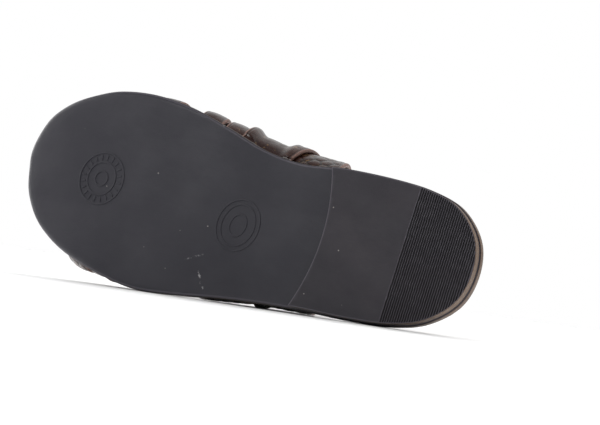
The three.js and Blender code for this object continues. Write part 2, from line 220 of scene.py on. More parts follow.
def read_five(values, place):
    """One of a strap's edges at a place round the foot, from its five values"""
    p = clamp((1 - place) * 2, 0, 4)
    i = min(3, int(p))
    a, b, c, d = (values[clamp(i + k, 0, 4)] for k in (-1, 0, 1, 2))
    return blend4(a, b, c, d, p - i)


# Outline of the sole and its inner copies
outline_steps = 14


def outline_loop():
    knots = [(0.0, 0.0)]
    knots += [(row["outer"] * ball_width, row["at"] * sole_length) for row in outline]
    knots.append((0.0, float(sole_length)))
    knots += [(-row["inner"] * ball_width, row["at"] * sole_length) for row in reversed(outline)]
    n = len(knots)
    loop = []
    for i in range(n):
        a, b, c, d = (knots[(i + k) % n] for k in (-1, 0, 1, 2))
        for j in range(outline_steps):
            t = j / outline_steps
            loop.append(Vector((blend4(a[0], b[0], c[0], d[0], t), blend4(a[1], b[1], c[1], d[1], t))))
    return loop


def inset_loop(loop, inset):
    """The outline moved inwards by the same way all round"""
    moved = []
    n = len(loop)
    for i, point in enumerate(loop):
        along = (loop[(i + 1) % n] - loop[i - 1]).normalized()
        moved.append(Vector((point.x - along.y * inset, point.y + along.x * inset)))
    return moved


def reach_at(loop, y):
    """Where an outline's outer and inner side pass a given length"""
    crossings = []
    for i, b in enumerate(loop):
        a = loop[i - 1]
        if (a.y - y) * (b.y - y) <= 0 and a.y != b.y:
            crossings.append(a.x + (b.x - a.x) * (y - a.y) / (b.y - a.y))
    return {"outer": max(crossings), "inner": min(crossings)}


class Rim:
    """Tells how far a point of the sole lies from an outline"""

    def __init__(self, loop):
        self.loop = loop
        self.tree = kdtree.KDTree(len(loop))
        for i, point in enumerate(loop):
            self.tree.insert(point.to_3d(), i)
        self.tree.balance()

    def distance(self, x, y):
        here = Vector((x, y))
        nearest = self.tree.find(here.to_3d())[1]
        n = len(self.loop)
        best = math.inf
        for i in (nearest - 1, nearest):
            a = self.loop[i % n]
            side = self.loop[(i + 1) % n] - a
            share = clamp((here - a).dot(side) / side.length_squared, 0.0, 1.0)
            best = min(best, (a + side * share - here).length)
        return best


sole_loop = outline_loop()
footbed_loop = inset_loop(sole_loop, footbed_ledge)


# Heights of the sole's layers above the ground
def tread_height(y):
    share = y / sole_length
    heel = lift_thickness + clearance
    down = 1 - ease((share - tread_flat["waist"]) / (tread_flat["ball_heel"] - tread_flat["waist"]))
    spring = max(0.0, (share - tread_flat["ball_toe"]) / (1 - tread_flat["ball_toe"]))
    return heel * down + toe_spring * spring**toe_spring_power


def outsole_top(y):
    return tread_height(y) + outsole_thickness


def footbed_bottom(y):
    return outsole_top(y) + clearance


def footbed_top(y):
    return footbed_bottom(y) + footbed_thickness


def rounding(distance, radius):
    """How far a rounded edge falls back at a distance from the rim"""
    if distance >= radius:
        return 0.0
    return radius - math.sqrt(radius**2 - (radius - distance) ** 2)


# Each plate's grid of cuts: its distance from the ends, its reach to both sides and its steps
outsole_grid = {"end": 2.0, "inner": -48.0, "outer": 58.0, "along": 3.0, "across": 3.0}
lift_grid = {"end": 1.2, "front": 94.0, "inner": -36.0, "outer": 43.0, "along": 3.0, "across": 1.0}
footbed_grid = {"end": 5.0, "inner": -45.0, "outer": 55.0, "along": 2.0, "across": 4.0}


# Mesh helpers
def cut_across(bm, axis, values):
    """Cuts the whole sheet by planes that stand on an axis at the given values"""
    normal = Vector((1, 0, 0)) if axis == "x" else Vector((0, 1, 0))
    for value in values:
        everything = bm.verts[:] + bm.edges[:] + bm.faces[:]
        bmesh.ops.bisect_plane(bm, geom=everything, dist=1e-5, plane_co=normal * value, plane_no=normal)


def steps_between(low, high, step):
    """Even values from low to high, about a step apart"""
    count = max(1, round((high - low) / step))
    return [low + (high - low) * k / count for k in range(count + 1)]


def slab(loop, ring_steps, cuts_y, cuts_x, bottom, top, tone, trim=0.0):
    """A plate inside a loop, with rings near its rim and a grid of cuts, whose two faces follow
    functions of x, y and the distance from the rim. Its side takes the second material, and so
    does the part of its faces that lies closer to the rim than the trim."""
    bm = bmesh.new()
    tone_layer = bm.verts.layers.float.new("tone")
    sheet = bm.faces.new([bm.verts.new((point.x, point.y, 0)) for point in loop])
    for step in ring_steps:
        bmesh.ops.inset_region(bm, faces=[sheet], thickness=step, use_boundary=True, use_even_offset=True)
    cut_across(bm, "y", cuts_y)
    cut_across(bm, "x", cuts_x)
    made = bmesh.ops.extrude_face_region(bm, geom=bm.faces[:])
    upper = {item for item in made["geom"] if isinstance(item, bmesh.types.BMVert)}
    rim = Rim(loop)
    for face in bm.faces:
        middle = face.calc_center_median()
        high = sum(vert in upper for vert in face.verts)
        on_side = 0 < high < len(face.verts)
        if on_side or rim.distance(middle.x, middle.y) < trim:
            face.material_index = 1
    for vert in bm.verts:
        x, y = vert.co.x, vert.co.y
        distance = rim.distance(x, y)
        vert[tone_layer] = tone(x, y, distance)
        height = top if vert in upper else bottom
        vert.co.z = height(x, y, distance)
    bmesh.ops.recalc_face_normals(bm, faces=bm.faces)
    return bm


sharp_angle = math.radians(38)


def finish_piece(name, bm, node, materials, sharp=True):
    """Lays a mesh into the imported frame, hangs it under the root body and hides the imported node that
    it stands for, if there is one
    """
    for face in bm.faces:
        face.smooth = True
    if sharp:
        for edge in bm.edges:
            edge.smooth = len(edge.link_faces) != 2 or edge.calc_face_angle() < sharp_angle
    bmesh.ops.transform(bm, matrix=shoe_place, verts=bm.verts)
    mesh = bpy.data.meshes.new(name)
    bm.to_mesh(mesh)
    bm.free()
    for material in materials:
        mesh.materials.append(material)
    piece = bpy.data.objects.new(name, mesh)
    bpy.context.scene.collection.objects.link(piece)
    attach(piece, "root")
    if node:
        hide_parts(node)
    return piece


# Finishes
class Finish:
    """The node tree of one finish"""

    def __init__(self, name):
        self.material = bpy.data.materials.new(name)
        self.material.use_nodes = True
        self.tree = self.material.node_tree
        self.shader = self.tree.nodes["Principled BSDF"]

    def node(self, kind, settings=None, inputs=None):
        made = self.tree.nodes.new("ShaderNode" + kind)
        for key, value in (settings or {}).items():
            setattr(made, key, value)
        for key, value in (inputs or {}).items():
            self.feed(made.inputs[key], value)
        return made

    def feed(self, socket, value):
        if isinstance(value, bpy.types.NodeSocket):
            self.tree.links.new(value, socket)
        else:
            socket.default_value = value

    def shoe_mm(self):
        """Object coordinates turned into the shoe's own frame, in millimetres"""
        inverse = shoe_place.inverted()
        coordinates = self.node("TexCoord").outputs["Object"]
        turned = self.node("Mapping", None, {
            "Vector": coordinates,
            "Location": inverse.to_translation(),
            "Rotation": inverse.to_quaternion().to_euler(),
            "Scale": (1 / MM, 1 / MM, 1 / MM),
        })
        return turned.outputs["Vector"]

    def attribute(self, name):
        return self.node("Attribute", {"attribute_name": name}).outputs["Fac"]

    def stretched(self, vector, scale):
        return self.node("Mapping", None, {"Vector": vector, "Scale": scale}).outputs["Vector"]

    def noise(self, vector, size, detail=3.0, rough=0.5):
        return self.node("TexNoise", None, {
            "Vector": vector, "Scale": 1 / size, "Detail": detail, "Roughness": rough,
        }).outputs["Fac"]

    def cells(self, vector, size, feature="F1"):
        return self.node("TexVoronoi", {"feature": feature}, {"Vector": vector, "Scale": 1 / size})

    def ramp(self, value, low, high, start=0.0, end=1.0):
        """Runs smoothly from start to end while the value runs from low to high"""
        return self.node("MapRange", {"interpolation_type": "SMOOTHSTEP"}, {
            "Value": value, "From Min": low, "From Max": high, "To Min": start, "To Max": end,
        }).outputs["Result"]

    def reckon(self, operation, a, b):
        made = self.node("Math", {"operation": operation})
        self.feed(made.inputs[0], a)
        self.feed(made.inputs[1], b)
        return made.outputs[0]

    def colour(self, share, a, b):
        made = self.node("Mix", {"data_type": "RGBA"})
        self.feed(made.inputs[0], share)
        self.feed(made.inputs[6], a)
        self.feed(made.inputs[7], b)
        return made.outputs[2]

    def relief(self, height, depth_mm, normal=None):
        made = self.node("Bump", None, {"Height": height, "Distance": depth_mm * MM})
        if normal is not None:
            self.feed(made.inputs["Normal"], normal)
        return made.outputs["Normal"]

    def patch(self, vector, centre, turn_degrees, length, width):
        """1 in the middle of an oval place on the part and 0 outside it"""
        moved = self.node("VectorMath", {"operation": "SUBTRACT"})
        self.feed(moved.inputs[0], vector)
        self.feed(moved.inputs[1], centre)
        turned = self.node("Mapping", {"vector_type": "TEXTURE"}, {
            "Vector": moved.outputs[0],
            "Rotation": (0.0, 0.0, math.radians(turn_degrees)),
            "Scale": (length / 2, width / 2, patch_depth),
        })
        far = self.node("VectorMath", {"operation": "LENGTH"}, {0: turned.outputs["Vector"]})
        return self.ramp(far.outputs["Value"], 1.0, 0.35)

    def specks(self, vector, size, radius, share):
        """Small dots in a share of the cells of a given size"""
        cell = self.cells(vector, size)
        dot = self.ramp(cell.outputs["Distance"], radius * 1.6, radius * 0.6)
        chosen = self.node("SeparateColor", None, {"Color": cell.outputs["Color"]}).outputs[0]
        return self.reckon("MULTIPLY", dot, self.reckon("LESS_THAN", chosen, share))


def shade(red, green, blue):
    """A colour as it looks on a screen, from 0 to 255"""
    def linear(value):
        c = value / 255
        return c / 12.92 if c <= 0.04045 else ((c + 0.055) / 1.055) ** 2.4
    return (linear(red), linear(green), linear(blue), 1.0)


dust_grey = shade(176, 170, 164)
scuff_grey = shade(188, 186, 186)
# Colour of the rib crests, also used for the painted highlight line along the rims
rib_crest_and_rim_highlight = shade(76, 72, 80)
# Painted shade: the rib grooves are coloured near black
rib_groove_painted_shade = shade(14, 13, 15)
edge_streak = shade(58, 50, 44)
patent_brown = shade(40, 19, 15)
patent_light_brown = shade(61, 34, 25)
patent_groove = shade(14, 8, 7)
# Colour of the painted glints on the patent leather
patent_painted_glint = shade(168, 134, 88)
strap_lining = shade(44, 31, 27)
strap_cut_edge = shade(124, 95, 86)
calf_brown = shade(84, 66, 60)
calf_light_brown = shade(104, 86, 79)
calf_side = shade(58, 34, 31)

# Rubbed places on the tread: how deep they reach, and each one's centre in the shoe, turn in degrees,
# length, width and strength
patch_depth = 6.0
scuffs = [
    ((41.0, 154.5, 1.5), -28.0, 7.0, 2.2, 0.8),
    ((47.0, 150.8, 2.0), -40.0, 8.0, 1.8, 0.7),
    ((33.0, 160.5, 1.0), 60.0, 16.0, 1.4, 0.25),
    ((-33.2, 99.6, 5.4), 0.0, 2.6, 2.0, 1.0),
]

# The tone attribute of a rib's crest, also given to the painted highlight line along the rims
crest_and_rim_highlight_tone = 0.03


def rubber_finish(name, face, worn, roughness):
    """Matt moulded rubber, dusty and a little worn. The tone attribute is 0 on plain rubber, and
    on the ribs it runs from just above 0 on a crest, which is rubbed lighter, to 1 in a groove, which is
    painted near black as painted shade. A thin line along each rim takes the crest's colour as a painted
    highlight."""
    finish = Finish(name)
    here = finish.shoe_mm()
    broad = finish.noise(here, 45.0, 4.0)
    fine = finish.noise(here, 1.1, 5.0, 0.65)
    cloudy = finish.noise(finish.stretched(here, (1.0, 0.35, 1.0)), 12.0, 6.0, 0.6)
    tone = finish.colour(finish.ramp(broad, 0.38, 0.66), face, worn)
    tone = finish.colour(finish.ramp(cloudy, 0.55, 0.8, 0.0, 0.35), tone, worn)
    ribbed = finish.attribute("tone")
    on_ribs = finish.ramp(ribbed, 0.0, crest_and_rim_highlight_tone)
    # Rib colour runs from the rubbed crest to the groove, whose near black is painted shade
    rib_crest_and_groove_shade = finish.colour(finish.ramp(ribbed, crest_and_rim_highlight_tone, 0.6), rib_crest_and_rim_highlight, rib_groove_painted_shade)
    tone = finish.colour(on_ribs, tone, rib_crest_and_groove_shade)
    dust = finish.specks(here, 7.0, 0.045, 0.3)
    tone = finish.colour(finish.reckon("MULTIPLY", dust, 0.55), tone, dust_grey)
    chalky = finish.ramp(finish.noise(here, 1.6, 6.0, 0.7), 0.5, 0.62)
    for centre, turn_degrees, length, width, strength in scuffs:
        rubbed = finish.patch(here, centre, turn_degrees, length, width)
        rubbed = finish.reckon("MULTIPLY", finish.reckon("MULTIPLY", rubbed, chalky), strength)
        tone = finish.colour(rubbed, tone, scuff_grey)
    finish.feed(finish.shader.inputs["Base Color"], tone)
    rough = finish.ramp(cloudy, 0.3, 0.75, roughness - 0.08, roughness + 0.08)
    finish.feed(finish.shader.inputs["Roughness"], rough)
    finish.shader.inputs["Specular IOR Level"].default_value = 0.4
    normal = finish.relief(fine, 0.05)
    normal = finish.relief(finish.noise(here, 9.0, 3.0), 0.16, normal)
    finish.feed(finish.shader.inputs["Normal"], normal)
    return finish.material


def edge_finish(name, heel, waist):
    """The sole's trimmed and rubbed side: painted lighter tan round the heel as a painted highlight,
    greyer towards the toe
    """
    finish = Finish(name)
    here = finish.shoe_mm()
    along = finish.node("SeparateXYZ", None, {0: here}).outputs["Y"]
    streaks = finish.noise(finish.stretched(here, (0.12, 0.12, 1.6)), 1.0, 4.0)
    # The heel's lighter tan is a painted highlight on the side wall
    tone = finish.colour(finish.ramp(along, 2.0, 46.0), heel, waist)
    tone = finish.colour(finish.ramp(streaks, 0.35, 0.75, 0.0, 0.4), tone, edge_streak)
    finish.feed(finish.shader.inputs["Base Color"], tone)
    finish.feed(finish.shader.inputs["Roughness"], finish.ramp(streaks, 0.3, 0.7, 0.34, 0.5))
    finish.feed(finish.shader.inputs["Normal"], finish.relief(streaks, 0.06))
    return finish.material


patent_coat = 0.62


def patent_finish():
    """Patent leather with an embossed scale grain: brown, with gold-brown painted glints, a painted
    highlight with some metal, on the sides of a few grooves
    """
    finish = Finish("patent_leather")
    here = finish.shoe_mm()
    groove = finish.attribute("groove")
    edge = finish.attribute("edge")
    inside = finish.attribute("inside")
    patch = finish.noise(here, 14.0, 3.0)
    grain = finish.noise(here, 0.55, 4.0, 0.6)
    tone = finish.colour(finish.ramp(patch, 0.35, 0.68), patent_brown, patent_light_brown)
    tone = finish.colour(finish.ramp(groove, 0.1, 0.8), tone, patent_groove)
    # Painted glints: gold-brown colour with some metal on the sides of the grooves, in patches, a painted
    # highlight
    glint = finish.noise(here, 3.2, 2.0)
    groove_side = finish.ramp(groove, 0.02, 0.3)
    painted_glint = finish.reckon("MULTIPLY", groove_side, finish.ramp(groove, 0.75, 0.4))
    painted_glint = finish.reckon("MULTIPLY", painted_glint, finish.ramp(glint, 0.6, 0.68))
    tone = finish.colour(finish.reckon("MULTIPLY", painted_glint, 0.65), tone, patent_painted_glint)
    tone = finish.colour(inside, tone, strap_lining)
    tone = finish.colour(edge, tone, strap_cut_edge)
    finish.feed(finish.shader.inputs["Base Color"], tone)
    finish.feed(finish.shader.inputs["Metallic"], finish.reckon("MULTIPLY", painted_glint, 0.6))
    rough = finish.ramp(grain, 0.3, 0.7, 0.2, 0.34)
    rough = finish.reckon("ADD", rough, finish.reckon("MULTIPLY", inside, 0.3))
    rough = finish.reckon("ADD", rough, finish.reckon("MULTIPLY", edge, 0.12))
    finish.feed(finish.shader.inputs["Roughness"], rough)
    finish.shader.inputs["Specular IOR Level"].default_value = 0.28
    finish.shader.inputs["Coat Roughness"].default_value = 0.09
    glossy = finish.reckon("SUBTRACT", 1.0, finish.reckon("MAXIMUM", inside, edge))
    finish.feed(finish.shader.inputs["Coat Weight"], finish.reckon("MULTIPLY", glossy, patent_coat))
    finish.feed(finish.shader.inputs["Normal"], finish.relief(grain, 0.03))
    return finish.material


def footbed_finish():
    """Smooth calf over the footbed, rubbed lighter on top and dark red-brown at the side"""
    finish = Finish("footbed_calf")
    here = finish.shoe_mm()
    side = finish.attribute("tone")
    pores = finish.cells(here, 0.9, "DISTANCE_TO_EDGE").outputs["Distance"]
    broad = finish.noise(here, 38.0, 4.0)
    tone = finish.colour(finish.ramp(broad, 0.35, 0.68), calf_brown, calf_light_brown)
    tone = finish.colour(side, tone, calf_side)
    finish.feed(finish.shader.inputs["Base Color"], tone)
    finish.feed(finish.shader.inputs["Roughness"], finish.ramp(broad, 0.3, 0.7, 0.34, 0.48))
    finish.shader.inputs["Coat Weight"].default_value = 0.2
    finish.shader.inputs["Coat Roughness"].default_value = 0.3
    normal = finish.relief(finish.ramp(pores, 0.0, 0.25), 0.05)
    normal = finish.relief(finish.noise(here, 6.0, 4.0), 0.12, normal)
    finish.feed(finish.shader.inputs["Normal"], normal)
    return finish.material


sole_rubber = rubber_finish("sole_rubber", shade(37, 36, 44), shade(45, 44, 51), 0.52)
# Each edge's first colour, the lighter tan round the heel, is a painted highlight
sole_edge = edge_finish("sole_edge", shade(110, 86, 68), shade(62, 56, 53))
lift_rubber = rubber_finish("lift_rubber", shade(37, 34, 41), shade(46, 42, 48), 0.56)
lift_edge = edge_finish("lift_edge", shade(116, 92, 72), shade(62, 56, 52))
patent_leather = patent_finish()
footbed_calf = footbed_finish()


# Outsole: its rim grows rounder towards the toe, and its tread rolls softly up to the toe's rim
rim_trim = 0.2
# A painted highlight: a thin lighter line along the rounded rim, at this distance from it and this wide
rim_highlight_line = 0.9
rim_highlight_width = 0.4
toe_roll_depth = 0.7
toe_roll_width = 9.0
round_from, round_to = 0.45, 0.8
roll_from, roll_to = 0.62, 0.87


def outsole_round(y):
    share = (y / sole_length - round_from) / (round_to - round_from)
    return mix(waist_edge_round, toe_edge_round, ease(share))


def outsole_under(x, y, distance):
    front = ease((y / sole_length - roll_from) / (roll_to - roll_from))
    roll = toe_roll_depth * front * clamp(1 - distance / toe_roll_width, 0.0, 1.0) ** 2
    return tread_height(y) + rounding(distance, outsole_round(y)) + roll


def outsole_over(x, y, distance):
    return outsole_top(y) - rounding(distance, top_edge_round)


def outsole_rim_highlight_tone(x, y, distance):
    """A thin line along the rim is painted as light as a rib's crest: a painted highlight on the rounded
    edge
    """
    return crest_and_rim_highlight_tone * bump(distance, rim_highlight_line, rim_highlight_width)


def make_outsole():
    rings = [0.08, 0.17, 0.25, 0.3, 0.4, 0.6, 0.7, 0.8, 1.2, 1.6, 2.0]
    grid = outsole_grid
    cuts_y = steps_between(grid["end"], sole_length - grid["end"], grid["along"])
    cuts_x = steps_between(grid["inner"], grid["outer"], grid["across"])
    bm = slab(sole_loop, rings, cuts_y, cuts_x, outsole_under, outsole_over, outsole_rim_highlight_tone, rim_trim)
    return finish_piece("outsole_rubber", bm, "outsole", [sole_rubber, sole_edge])


# Heel lift with fine ribs across its back half, slightly wavy and fading at the rim
rib_start = 42.5
rib_pitch = 1.32
rib_depth = 0.6
rib_steps = 6
rib_wander = 0.2
rib_wave_across = 2.6
rib_wave_along = 9
rib_wave_seed = 3.1
groove_fullness = 0.8
past_ribs = 0.4
rib_from_rim = 0.3
rib_fade = 0.5
# A painted highlight along the lift's rim, at this distance from it and this wide
lift_rim_highlight_line = 0.45
lift_rim_highlight_width = 0.3
lift_top_round = 0.2


def rib_groove(x, y, distance):
    """How far into a groove between two slightly wavy ribs a point lies, nearly 0 on a rib and up to 1"""
    if y > rib_start:
        return 0.0
    wave_place = Vector((x / rib_wave_across, y / rib_wave_along, rib_wave_seed))
    phase = (rib_start - y + rib_wander * noise.noise(wave_place)) / rib_pitch
    wave = 0.5 - 0.5 * math.cos(2 * math.pi * phase)
    return max(crest_and_rim_highlight_tone, wave**groove_fullness) * ease((distance - rib_from_rim) / rib_fade)


def lift_under(x, y, distance):
    return rounding(distance, lift_edge_round) + rib_depth * rib_groove(x, y, distance)


def lift_groove_shade_and_rim_highlight(x, y, distance):
    # Painted shade in the rib grooves, and a painted highlight in a thin line along the rim
    rubbed = crest_and_rim_highlight_tone * bump(distance, lift_rim_highlight_line, lift_rim_highlight_width)
    return max(rib_groove(x, y, distance), rubbed)


def lift_over(x, y, distance):
    return lift_thickness - rounding(distance, lift_top_round)


# Where the outline is opened for the breast: its points keep some room from the breast's corners,
# and its inner side is looked for past a share of the sole's length
corner_room = 2.0
inner_side_from = 0.13
breast_steps = 48


def lift_loop():
    """The sole's outline behind the breast, closed by the breast's hollow arc"""
    loop = inset_loop(sole_loop, lift_inset)
    breast = tread_flat["breast"] * sole_length
    reach = reach_at(loop, breast)
    middle = (reach["outer"] + reach["inner"]) / 2
    half = (reach["outer"] - reach["inner"]) / 2
    kept = [point for point in loop if point.y < breast - corner_room]
    past = sole_length * inner_side_from
    turn = next(i for i, point in enumerate(kept) if point.x < 0 and point.y > past)
    shape = kept[turn:] + kept[:turn]
    for k in range(breast_steps + 1):
        u = 1 - 2 * k / breast_steps
        shape.append(Vector((middle + half * u, breast - breast_depth * (1 - u * u))))
    return shape


def make_lift():
    rings = [0.07, 0.13, 0.15, 0.2, 0.3]
    grid = lift_grid
    cuts_y = steps_between(grid["end"], rib_start, rib_pitch / rib_steps)
    cuts_y += steps_between(rib_start + past_ribs, grid["front"], grid["along"])
    cuts_x = steps_between(grid["inner"], grid["outer"], grid["across"])
    bm = slab(lift_loop(), rings, cuts_y, cuts_x, lift_under, lift_over, lift_groove_shade_and_rim_highlight, rim_trim)
    return finish_piece("ribbed_heel_lift", bm, "heel_lift", [lift_rubber, lift_edge])


# Plain moulded marks on the tread: rings with ticks under the toes and ovals at the waist
mark_height = 0.35
mark_line = 0.9
mark_round = 0.18
drawn_height = 1.0
ring_places = 72
toe_ring_radii = (15.0, 9.6, 4.2)
toe_ring_centre = (5.4, 234.0)
toe_ticks = {"count": 20, "radius": 12.3, "length": 3.0, "width": 0.8}
waist_ovals = ((14.6, 12.2), (11.9, 9.5), (6.4, 4.6))
waist_oval_centre = (9.4, 141.8)
waist_oval_turn = 8.0


def add_outline(bm, half_length, half_width):
    """A line round an oval, drawn flat"""
    loops = []
    for extra in (mark_line / 2, -mark_line / 2):
        made = bmesh.ops.create_circle(bm, cap_ends=False, segments=ring_places, radius=1.0)
        bmesh.ops.scale(bm, vec=(half_length + extra, half_width + extra, 1.0), verts=made["verts"])
        loops += {edge for vert in made["verts"] for edge in vert.link_edges}
    bmesh.ops.bridge_loops(bm, edges=loops)


def add_tick(bm, turn):
    """A short bar that points away from the rings' centre, drawn flat"""
    made = bmesh.ops.create_grid(bm, x_segments=1, y_segments=1, size=0.5)
    bmesh.ops.scale(bm, vec=(toe_ticks["length"], toe_ticks["width"], 1.0), verts=made["verts"])
    bmesh.ops.rotate(bm, matrix=Matrix.Rotation(turn, 3, "Z"), verts=made["verts"])
    x = toe_ticks["radius"] * math.cos(turn)
    y = toe_ticks["radius"] * math.sin(turn)
    bmesh.ops.translate(bm, vec=(x, y, 0.0), verts=made["verts"])


def raise_mark(name, bm, centre, turn_degrees):
    """Raises a flat drawing from the tread, rounds its edges and lays it on the sole"""
    made = bmesh.ops.extrude_face_region(bm, geom=bm.faces[:])
    crown_verts = [item for item in made["geom"] if isinstance(item, bmesh.types.BMVert)]
    crown = {item for item in made["geom"] if isinstance(item, bmesh.types.BMFace)}
    bmesh.ops.translate(bm, vec=(0.0, 0.0, -drawn_height), verts=crown_verts)
    edges = [edge for edge in bm.edges if len(set(edge.link_faces) & crown) == 1]
    bmesh.ops.bevel(
        bm, geom=edges, offset=mark_round, offset_type="OFFSET", segments=2, profile=0.5,
        affect="EDGES", material=-1,
    )
    turn = Matrix.Rotation(math.radians(turn_degrees), 3, "Z")
    for vert in bm.verts:
        depth = -vert.co.z
        flat = turn @ Vector((vert.co.x, vert.co.y, 0.0))
        x, y = centre[0] + flat.x, centre[1] + flat.y
        raised = depth > drawn_height - 2 * mark_round
        rise = mark_height + mark_round * (depth - drawn_height) if raised else -mark_height
        vert.co = Vector((x, y, tread_height(y) - rise))
    bmesh.ops.recalc_face_normals(bm, faces=bm.faces)
    return finish_piece(name, bm, None, [sole_rubber], sharp=False)


def make_toe_rings():
    bm = bmesh.new()
    for radius in toe_ring_radii:
        add_outline(bm, radius, radius)
    for k in range(toe_ticks["count"]):
        add_tick(bm, 2 * math.pi * k / toe_ticks["count"])
    raise_mark("toe_grip_rings", bm, toe_ring_centre, 0.0)


def make_waist_ovals():
    bm = bmesh.new()
    for half_length, half_width in waist_ovals:
        add_outline(bm, half_length, half_width)
    raise_mark("waist_grip_ovals", bm, waist_oval_centre, waist_oval_turn)


# Footbed with a rounded top edge, a heel cup and a notch underneath for each strap
notch_room = 0.6
notch_end_room = 1.2
notch_headroom = 0.1
notch_reach = tuck_length + notch_end_room
notch_height = strap_thickness + clearance + notch_headroom
heel_cup_full, heel_cup_end = 0.2, 0.45
forefoot_from, forefoot_full = 0.45, 0.65
dish_slope = 32
side_colour_from = 0.9
side_colour_fade = 1.3


def footbed_dish(y, distance):
    share = y / sole_length
    heel = heel_cup_depth * (1 - ease((share - heel_cup_full) / (heel_cup_end - heel_cup_full)))
    front = forefoot_dish * ease((share - forefoot_from) / (forefoot_full - forefoot_from))
    return (heel + front) * ease(distance / dish_slope)


def notch_at(x, y, distance):
    foot = 4 if x < 0 else 0
    for strap in straps.values():
        rear = strap["rear"][foot] * sole_length
        front = strap["front"][foot] * sole_length
        if rear - notch_room < y < front + notch_room and distance < notch_reach:
            return notch_height
    return 0.0


def footbed_under(x, y, distance):
    return footbed_bottom(y) + notch_at(x, y, distance)


def footbed_over(x, y, distance):
    return footbed_top(y) - rounding(distance, footbed_edge_round) - footbed_dish(y, distance)


def side_tone(x, y, distance):
    return 1 - ease((distance - side_colour_from) / side_colour_fade)


def make_footbed():
    rings = [0.12, 0.25, 0.35, 0.45, 0.65, 0.9, 7.5, 0.4]
    grid = footbed_grid
    cuts_y = steps_between(grid["end"], sole_length - grid["end"], grid["along"])
    for strap in straps.values():
        for foot in (0, 4):
            cuts_y.append(strap["rear"][foot] * sole_length - notch_room)
            cuts_y.append(strap["front"][foot] * sole_length + notch_room)
    cuts_x = steps_between(grid["inner"], grid["outer"], grid["across"])
    bm = slab(footbed_loop, rings, cuts_y, cuts_x, footbed_under, footbed_over, side_tone)
    return finish_piece("covered_footbed", bm, "footbed", [footbed_calf, footbed_calf])


# The last: points at even places round its section, in rows along the foot
last_start = 78
last_end = 262
places_per_side = 60
curve_steps = 48
bend_steps = 4
shoulder_reach = 0.62
shoulder_swell = 0.3
fullest_height = 0.5
normal_step = 0.02
hair = 0.0001


def bezier(a, b, c, d, t):
    s = 1 - t
    return a * s**3 + b * (3 * s * s * t) + c * (3 * s * t * t) + d * t**3


def half_section(y, side):
    """From the crown down one side to the foot, then round the bend and under the footbed"""
    sign = 1 if side == "outer" else -1
    reach = reach_at(footbed_loop, y)
    share = y / sole_length
    edge = reach[side] + sign * clearance
    middle = (reach["outer"] + reach["inner"]) / 2 - crown_shift
    height = vamp_height * read_table(last_rows, "crown", share)
    swell = flare[side] * read_table(last_rows, side, share)
    base = footbed_top(y)
    crown = Vector((middle, base + height))
    shoulder_x = mix(middle, edge, shoulder_reach) + sign * shoulder_swell * swell
    shoulder = Vector((shoulder_x, base + height))
    fullest = Vector((edge + sign * swell, base + fullest_height * height))
    foot = Vector((edge, base))
    points = [bezier(crown, shoulder, fullest, foot, k / curve_steps) for k in range(curve_steps + 1)]
    under = outsole_top(y) + clearance + strap_thickness
    points.append(Vector((edge, under + tuck_bend)))
    tuck = [points[-1]]
    for k in range(1, bend_steps + 1):
        angle = math.pi / 2 / bend_steps * k
        back = sign * tuck_bend * (1 - math.cos(angle))
        tuck.append(Vector((edge - back, under + tuck_bend * (1 - math.sin(angle)))))
    tuck.append(Vector((edge - sign * tuck_length, under)))
    return evenly(points)[:-1] + evenly(tuck)


def evenly(points):
    """The points of a line moved to even steps along it"""
    lengths = [0.0]
    for a, b in zip(points, points[1:]):
        lengths.append(lengths[-1] + (b - a).length)
    spread = []
    i = 0
    for k in range(places_per_side + 1):
        want = lengths[-1] * k / places_per_side
        while i < len(points) - 2 and lengths[i + 1] < want:
            i += 1
        share = (want - lengths[i]) / (lengths[i + 1] - lengths[i])
        spread.append(points[i].lerp(points[i + 1], share))
    return spread


last_sections = {
    side: [half_section(y, side) for y in range(last_start, last_end + 1)] for side in ("outer", "inner")
}


def last_point(y, place):
    """Place 1 is the outer foot, 0 the crown, -1 the inner foot, and past 1 the tuck, up to 2"""
    rows = last_sections["outer" if place >= 0 else "inner"]
    along = clamp(y - last_start, 0, len(rows) - 1 - hair)
    row = int(along)
    across = clamp(abs(place), 0, 2 - hair) * places_per_side
    column = int(across)
    near = rows[row][column].lerp(rows[row][column + 1], across - column)
    far = rows[row + 1][column].lerp(rows[row + 1][column + 1], across - column)
    at = near.lerp(far, along - row)
    return Vector((at.x, y, at.y))


def last_normal(y, place):
    across = last_point(y, place + normal_step) - last_point(y, place - normal_step)
    along = last_point(y + 1, place) - last_point(y - 1, place)
    return across.cross(along).normalized()


# Straps. A place round the foot is 1 at the outer foot, 0 at the crown and -1 at the inner foot.
scale_length = 8.6
scale_width = 6.4
scale_groove = 0.55
scale_depth = 0.26
scale_swell = 0.12
scale_swell_width = 2.6
jitter_along = 0.32
jitter_across = 0.35
print_from_edge = 2.4
print_fade = 1.2
smooth_foot_share = 0.8
smooth_foot_from = 0.7
smooth_foot_fade = 0.14
crown_fade_from = 0.86
crown_fade = 0.1
lift_fade_from = 0.93
lift_fade = 0.06
outer_side_share = 0.45
outer_side_from = 0.68
outer_side_fade = 0.15
edge_crease_place = 1.9
edge_crease_depth = 0.22
edge_crease_width = 0.3


def strap_edges(name, place):
    rows = straps[name]
    return sole_length * read_five(rows["rear"], place), sole_length * read_five(rows["front"], place)


def lift_over_others(name, y, place):
    """How far a strap is lifted by the ones that it crosses over"""
    most = 0.0
    for other in straps[name]["over"]:
        rear, front = strap_edges(other, place)
        outside = max(0.0, y - front, rear - y)
        most = max(most, 1 - ease(outside / crossing_ramp))
    near_foot = 1 - ease((abs(place) - lift_fade_from) / lift_fade)
    pressed = 1 - outer_side_share * ease((place - outer_side_from) / outer_side_fade)
    return (strap_thickness + crossing_gap) * most * near_foot * pressed


scale_centres = {}


